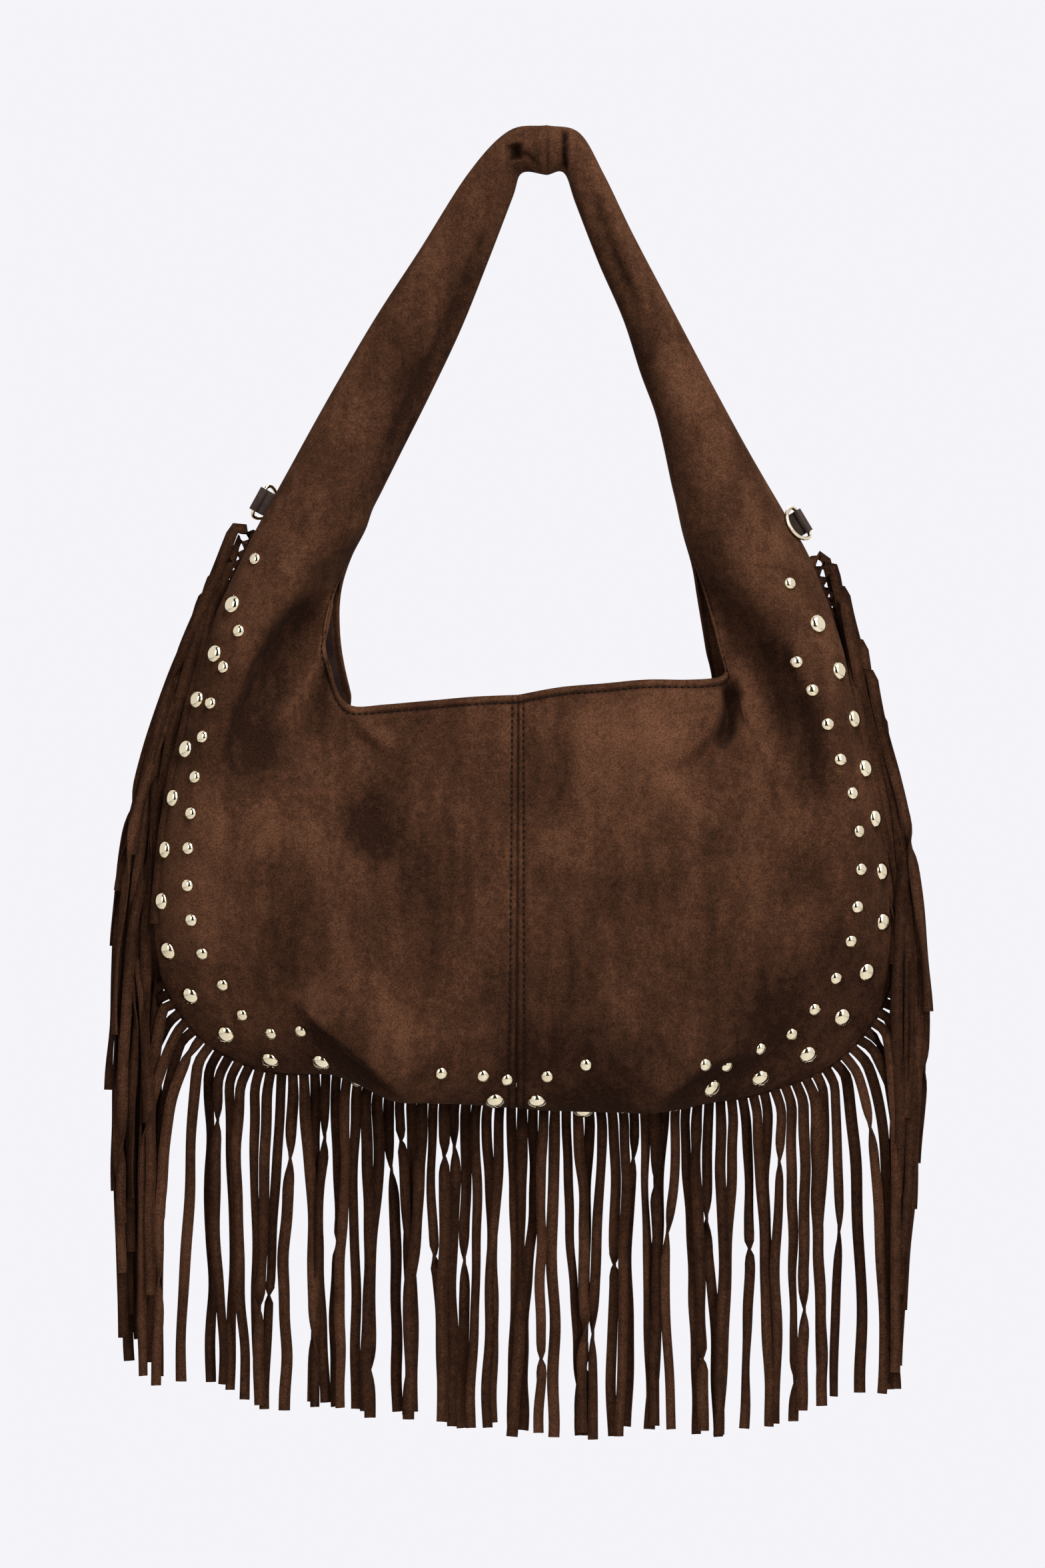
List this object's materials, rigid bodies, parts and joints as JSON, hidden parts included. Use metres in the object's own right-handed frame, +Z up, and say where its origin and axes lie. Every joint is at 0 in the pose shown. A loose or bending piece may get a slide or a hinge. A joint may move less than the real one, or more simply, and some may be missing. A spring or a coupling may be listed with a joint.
{
  "type": "shoulder bag",
  "caption": "Slouchy suede hobo shoulder bag with a hollow handle, domed studs and a long fringe sewn into the perimeter seam.",
  "frame": {"origin": "underside of the handle at its highest point, where a hook or a hand carries the bag", "axes": "+X to the right seen from the front, -Y is the studded front, +Z up"},
  "size_m": [0.4459, 0.092, 0.6916],
  "materials": {
    "brown_suede": "napped, matt",
    "fringe_suede": "napped, matt",
    "dark_lining": "smooth woven cloth",
    "smooth_leather": "smooth, satin",
    "pale_gold": "polished pale gold plating"
  },
  "bodies": {
    "bag": {"front_panel_left": "brown_suede", "front_panel_right": "brown_suede", "back_panel_left": "brown_suede", "back_panel_right": "brown_suede", "lining": "dark_lining", "fringe": "fringe_suede", "ring_tab_left": "smooth_leather", "ring_tab_right": "smooth_leather", "stud_left_01": "pale_gold", "stud_left_02": "pale_gold", "stud_left_03": "pale_gold", "stud_left_04": "pale_gold", "stud_left_05": "pale_gold", "stud_left_06": "pale_gold", "stud_left_07": "pale_gold", "stud_left_08": "pale_gold", "stud_left_09": "pale_gold", "stud_left_10": "pale_gold", "stud_left_11": "pale_gold", "stud_left_12": "pale_gold", "stud_left_13": "pale_gold", "stud_left_14": "pale_gold", "stud_left_15": "pale_gold", "stud_left_16": "pale_gold", "stud_right_01": "pale_gold", "stud_right_02": "pale_gold", "stud_right_03": "pale_gold", "stud_right_04": "pale_gold", "stud_right_05": "pale_gold", "stud_right_06": "pale_gold", "stud_right_07": "pale_gold", "stud_right_08": "pale_gold", "stud_right_09": "pale_gold", "stud_right_10": "pale_gold", "stud_right_11": "pale_gold", "stud_right_12": "pale_gold", "stud_right_13": "pale_gold", "stud_right_14": "pale_gold", "stud_right_15": "pale_gold", "stud_right_16": "pale_gold"},
    "left_ring": {"ring_left": "pale_gold"},
    "right_ring": {"ring_right": "pale_gold"}
  },
  "joints": [
    {"name": "left_ring_swing", "type": "hinge", "parent": "bag", "child": "left_ring", "pos_m": [-0.14806, 0, -0.17061], "axis": [0.481, 0, 0.8767], "range_deg": [0, 244]},
    {"name": "right_ring_swing", "type": "hinge", "parent": "bag", "child": "right_ring", "pos_m": [0.13719, 0, -0.18191], "axis": [-0.5156, 0, 0.8568], "range_deg": [0, 244]}
  ]
}
